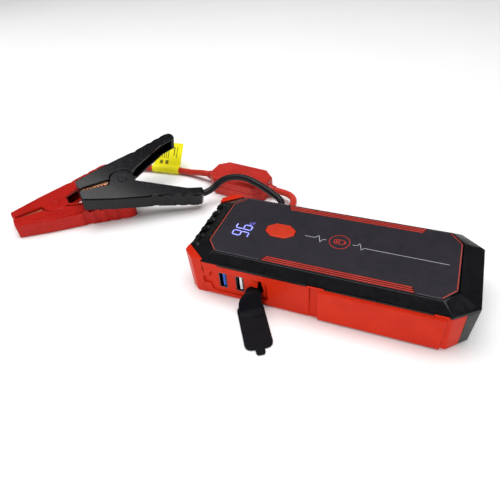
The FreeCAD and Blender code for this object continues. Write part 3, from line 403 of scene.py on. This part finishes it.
# node, slot, material, rounding in millimetres
FINISHED = [
    ("lower_housing", "housing_red", HOUSING_RED, 0.5),
    ("top_cover", "cover_black", COVER_BLACK, 0.4),
    ("top_panel", "panel_charcoal", PANEL_CHARCOAL, 0.12),
    ("accent_strip_near", "accent_red", ACCENT_RED, 0.12),
    ("accent_strip_far", "accent_red", ACCENT_RED, 0.12),
    ("power_button", "button_red", BUTTON_RED, 0.35),
    ("end_cover", "end_dark", END_DARK, 0.5),
    ("port_cover", "rubber_black", RUBBER_BLACK, 0.5),
    ("usb_shell_1", "port_steel", PORT_STEEL, 0.1),
    ("usb_shell_2", "port_steel", PORT_STEEL, 0.1),
    ("usb_tongue_1", "tongue_blue", TONGUE_BLUE, 0.2),
    ("usb_tongue_2", "tongue_white", TONGUE_WHITE, 0.2),
    ("charge_port", "port_steel", PORT_STEEL, 0.1),
    ("control_box_relay", "relay_blue", RELAY_BLUE, 0.3),
    ("plug_body", "plug_blue", PLUG_BLUE, 0.5),
    ("jump_socket", "socket_blue", SOCKET_BLUE, 0.3),
    ("control_box_base", "box_red", BOX_RED, 0.5),
    ("control_box_lid", "box_red", BOX_RED, 0.6),
    ("red_clamp_body", "clamp_red", CLAMP_RED, 0.7),
    ("red_clamp_lever", "clamp_red", CLAMP_RED, 0.7),
    ("black_clamp_body", "clamp_black", CLAMP_BLACK, 0.7),
    ("black_clamp_lever", "clamp_black", CLAMP_BLACK, 0.7),
]
for node, slot, material, edge in FINISHED:
    finished(node, material, edge)

DRESSED = {
    "button_switch": SWITCH_BLACK, "display_module": DISPLAY_WHITE, "main_board": BOARD_GREEN,
    "port_board": BOARD_GREEN, "torch_lens": LENS_CLEAR, "torch_reflector": CHROME,
    "torch_led": LED_YELLOW, "socket_contacts": GOLD, "bus_bars": BUS_COPPER,
    "housing_screws": SCREW_STEEL, "plug_contacts": GOLD, "control_box_board": BOARD_GREEN,
    "control_box_glands": GLAND_RED, "cover_knuckle": RUBBER_BLACK,
    "warning_label": LABEL_YELLOW,
}
for node, material in DRESSED.items():
    dressed(node, material)
for number in range(1, 5):
    dressed("battery_cell_%d" % number, CELL_FOIL)
for colour in ("red", "black"):
    plastic = CLAMP_RED if colour == "red" else CLAMP_BLACK
    for part, material in (("body_jaw", JAW_COPPER), ("lever_jaw", JAW_COPPER), ("pin", plastic),
                           ("spring", PIN_STEEL), ("braid", JAW_COPPER), ("wire", SWITCH_BLACK)):
        dressed("%s_clamp_%s" % (colour, part), material)


# ---- marks on the panel ------------------------------------------------------------------
PANEL_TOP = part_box("top_panel")[1].z
MARK_PROUD, TRIM_PROUD = 0.06 * MM, 0.04 * MM
MARK_SUNK = 0.02 * MM


def slab(name, outlines, material, height=MARK_PROUD):
    """Thin printed or moulded shapes on the panel, one for each outline in millimetres."""
    form = bmesh.new()
    for outline in outlines:
        face = form.faces.new([form.verts.new((x * MM, y * MM, PANEL_TOP - MARK_SUNK))
                               for x, y in outline])
        raised = bmesh.ops.extrude_face_region(form, geom=[face])["geom"]
        bmesh.ops.translate(form, vec=(0, 0, height + MARK_SUNK),
                            verts=[v for v in raised if isinstance(v, bmesh.types.BMVert)])
    bmesh.ops.recalc_face_normals(form, faces=form.faces)
    new_piece(name, form, material, "pack")


def stroke(points, width):
    """Outline of a line of even width through the points, as quadrilaterals."""
    quads = []
    for (x0, y0), (x1, y1) in zip(points, points[1:]):
        run = hypot(x1 - x0, y1 - y0)
        ux, uy = (x1 - x0) / run * width / 2, (y1 - y0) / run * width / 2
        quads.append([(x0 - ux - uy, y0 - uy + ux), (x0 - ux + uy, y0 - uy - ux),
                      (x1 + ux + uy, y1 + uy - ux), (x1 + ux - uy, y1 + uy + ux)])
    return quads


DIGIT_WIDTH, DIGIT_HEIGHT, SEGMENT, SLANT = 5.6, 12.4, 0.9, 0.07
SEGMENT_GAP = 0.2
# each segment's middle across and up the digit, and whether it lies
SEGMENT_PLACES = {"a": (0.5, 1.0, True), "d": (0.5, 0.0, True), "g": (0.5, 0.5, True),
                  "f": (0.0, 0.75, False), "b": (1.0, 0.75, False),
                  "e": (0.0, 0.25, False), "c": (1.0, 0.25, False)}


def digit(left, foot, lit):
    """Seven-segment digit that reads from the pack's +X end; left is along Y, foot along X."""
    outlines = []
    across, up = DIGIT_WIDTH - SEGMENT, DIGIT_HEIGHT - SEGMENT
    for key in lit:
        u, v, lying = SEGMENT_PLACES[key]
        cx, cy = SEGMENT / 2 + u * across, SEGMENT / 2 + v * up
        long = (across if lying else up / 2) / 2 - SEGMENT_GAP
        tip = long - SEGMENT / 2
        shape = [(-long, 0), (-tip, -SEGMENT / 2), (tip, -SEGMENT / 2), (long, 0),
                 (tip, SEGMENT / 2), (-tip, SEGMENT / 2)]
        if not lying:
            shape = [(-b, a) for a, b in shape]
        outlines.append([(foot - cy - b, left + cx + a + SLANT * (cy + b)) for a, b in shape])
    return outlines


DIGITS_FOOT, NINE_LEFT, SIX_LEFT = -56.3, -12.6, -5.2
PERCENT_X, PERCENT_Y = -58.4, 2.9
slab("charge_digits",
     digit(NINE_LEFT, DIGITS_FOOT, "abcdfg") + digit(SIX_LEFT, DIGITS_FOOT, "acdefg"),
     DIGIT_GLOW)
slab("charge_percent",
     stroke([(PERCENT_X + 1.8, PERCENT_Y - 0.9), (PERCENT_X - 1.8, PERCENT_Y + 0.9)], 0.45)
     + stroke([(PERCENT_X - 1.6, PERCENT_Y - 1.0), (PERCENT_X - 0.5, PERCENT_Y - 1.0)], 1.0)
     + stroke([(PERCENT_X + 0.5, PERCENT_Y + 1.0), (PERCENT_X + 1.6, PERCENT_Y + 1.0)], 1.0),
     PERCENT_GLOW)

LINE = 0.42
PULSE_LEFT = [(-18.7, 1.0), (-12.0, 1.0), (-9.6, 3.8), (-7.6, -2.6), (-6.2, 0.6), (-4.0, 0.6)]
PULSE_RIGHT = [(14.2, 0.6), (16.6, 0.6), (18.4, 3.2), (20.2, -3.0), (21.6, -0.6), (74.0, -0.8)]
slab("pulse_lines", stroke(PULSE_LEFT, LINE) + stroke(PULSE_RIGHT, LINE),
     MARK_GREY)
RING_STEPS = 48


def ring(centre, radius, width):
    """Quadrilaterals of a flat ring."""
    x, y = centre
    turns = [2 * pi * i / RING_STEPS for i in range(RING_STEPS + 1)]
    inner, outer = radius - width / 2, radius + width / 2
    return [[(x + inner * cos(a), y + inner * sin(a)), (x + outer * cos(a), y + outer * sin(a)),
             (x + outer * cos(b), y + outer * sin(b)), (x + inner * cos(b), y + inner * sin(b))]
            for a, b in zip(turns, turns[1:])]


# a ring round a plain battery: its outline, its terminal and two bars
RING_CENTRE = (5.0, 1.1)
cx, cy = RING_CENTRE
slab("ring_mark", ring(RING_CENTRE, 6.8, 0.5)
     + stroke([(cx - 3.6, cy - 2.2), (cx + 3.2, cy - 2.2), (cx + 3.2, cy + 2.2),
               (cx - 3.6, cy + 2.2), (cx - 3.6, cy - 2.2)], 0.55)
     + stroke([(cx + 4.0, cy - 0.8), (cx + 4.0, cy + 0.8)], 0.7)
     + stroke([(cx - 2.0, cy - 0.9), (cx - 2.0, cy + 0.9)], 0.9)
     + stroke([(cx - 0.3, cy - 0.9), (cx - 0.3, cy + 0.9)], 0.9),
     MARK_RED)


# ---- coloured line round the panel ----------------------------------------------------------
PANEL_HALF = (81.0, 31.5)
PANEL_CORNER = (8.0, 9.5)
TRIM_INSET, TRIM_WIDTH = 0.75, 0.6
STRIP_REACH = (-41.5, 59.5)      # the accent strips take the panel's long edges between these


def panel_outline(inset):
    """The panel's eight corners, moved in by inset, from the far edge's left end clockwise."""
    (hx, hy), (a, b) = PANEL_HALF, PANEL_CORNER
    slope = hypot(a, b)
    x, y = hx - inset, hy - inset
    a, b = a - inset * (a + b - slope) / b, b - inset * (a + b - slope) / a
    return [(-x + a, y), (x - a, y), (x, y - b), (x, -y + b),
            (x - a, -y), (-x + a, -y), (-x, -y + b), (-x, y - b)]


rim = panel_outline(TRIM_INSET)
slab("panel_trim_ends", stroke([rim[1], rim[2], rim[3], rim[4]], TRIM_WIDTH)
     + stroke([rim[5], rim[6], rim[7], rim[0]], TRIM_WIDTH),
     TRIM_RED, height=TRIM_PROUD)
# the long sides are grey, a painted highlight standing in for the reflection on the red trim
slab("panel_trim_sides_highlight", [quad for y in (rim[4][1], rim[0][1]) for x0, x1 in
                          ((rim[5][0], STRIP_REACH[0]), (STRIP_REACH[1], rim[4][0]))
                          for quad in stroke([(x0, y), (x1, y)], TRIM_WIDTH * 0.8)],
     TRIM_HIGHLIGHT_GREY, height=TRIM_PROUD)


# ---- generic marks on the lead's label --------------------------------------------------------
LABEL_START, LABEL_END = mm(-204.0, 97.08, 3.75), mm(-176.0, 99.66, 3.75)
LABEL_LEAN = radians(46.0)
LABEL_FACE = 0.25                # half the label's thickness
INK_SUNK, INK_PROUD = 0.1, 0.06
# along the lead, up the flag, length up the flag, width along the lead
LABEL_BARS = [(5.0 + 2.2 * row, 11.0, 9.0 + 2.5 * (row % 3), 0.7) for row in range(5)]
LABEL_BARS += [(19.5, 14.0, 8.5, 1.1), (22.5, 12.0, 10.5, 0.7)]
LABEL_BARS += [(6.0, 5.2, 3.6, 3.2), (12.0, 5.2, 3.6, 3.2)]
BOX_FACES = [(3, 2, 1, 0), (4, 5, 6, 7), (0, 1, 5, 4), (1, 2, 6, 5), (2, 3, 7, 6), (3, 0, 4, 7)]


def label_marks():
    """Plain bars printed on the side of the flag that faces up and out."""
    along = (LABEL_END - LABEL_START).normalized()
    across = UP.cross(along)
    up = across * cos(LABEL_LEAN) + UP * sin(LABEL_LEAN)
    face = along.cross(up)
    form = bmesh.new()
    for u, v, long, wide in LABEL_BARS:
        corners = []
        for h in (LABEL_FACE - INK_SUNK, LABEL_FACE + INK_PROUD):
            for a, b in ((u, v), (u + wide, v), (u + wide, v + long), (u, v + long)):
                place = LABEL_START + along * (a * MM) + up * (b * MM) + face * (h * MM)
                corners.append(form.verts.new(place))
        for loop in BOX_FACES:
            form.faces.new([corners[i] for i in loop])
    bmesh.ops.recalc_face_normals(form, faces=form.faces)
    new_piece("label_marks", form, LABEL_INK, "pack")


label_marks()


# ---- strap of the port cover --------------------------------------------------------------------
STRAP_ROOT = Vector((-44.0, -37.0, 0.0))
STRAP_HEADING = radians(32.0)
# along the arch: reach, height, thickness, width to the left and to the right
STRAP_STATIONS = [(-2.4, 14.0, 1.6, 4.7, 4.7), (0.6, 14.1, 1.6, 5.0, 4.7),
                  (2.6, 13.7, 1.6, 6.6, 4.7), (4.0, 12.3, 1.6, 9.4, 4.7),
                  (5.3, 9.8, 1.6, 11.2, 4.7), (6.6, 6.4, 1.6, 11.9, 4.8),
                  (7.8, 4.0, 1.5, 12.0, 5.0), (9.3, 2.9, 1.2, 12.0, 5.4),
                  (11.6, 2.5, 0.7, 12.0, 5.6), (14.0, 2.3, 0.4, 12.0, 5.6)]
STRAP_EDGE = 0.5                 # how far the rounded edges stand back at the two faces


def strap():
    """Rubber strap that widens from its root in the recess to the width of the cover."""
    out = Vector((sin(STRAP_HEADING), -cos(STRAP_HEADING), 0))
    side = out.cross(UP)
    last = len(STRAP_STATIONS) - 1
    form = bmesh.new()
    sections = []
    for i, (reach, height, thick, left, right) in enumerate(STRAP_STATIONS):
        before, after = STRAP_STATIONS[max(i - 1, 0)], STRAP_STATIONS[min(i + 1, last)]
        run = Vector((after[0] - before[0], after[1] - before[1])).normalized()
        normal = out * -run.y + UP * run.x
        middle = STRAP_ROOT + out * reach + UP * height
        outline = [(left - STRAP_EDGE, 0.5), (left, 0.0), (left - STRAP_EDGE, -0.5),
                   (STRAP_EDGE - right, -0.5), (-right, 0.0), (STRAP_EDGE - right, 0.5)]
        sections.append([form.verts.new((middle + side * shift + normal * (level * thick)) * MM)
                         for shift, level in outline])
    for first, second in zip(sections, sections[1:]):
        for i in range(len(first)):
            j = (i + 1) % len(first)
            form.faces.new([first[i], first[j], second[j], second[i]])
    form.faces.new(sections[0])
    form.faces.new(list(reversed(sections[-1])))
    bmesh.ops.recalc_face_normals(form, faces=form.faces)
    for face in form.faces:
        face.smooth = True
    piece = new_piece("cover_strap_band", form, RUBBER_BLACK,
                      body_of["cover_strap"])
    rounding = piece.modifiers.new("rounding", "SUBSURF")
    rounding.levels = rounding.render_levels = 2
    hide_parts("cover_strap")
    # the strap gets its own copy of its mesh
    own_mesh(piece)


strap()
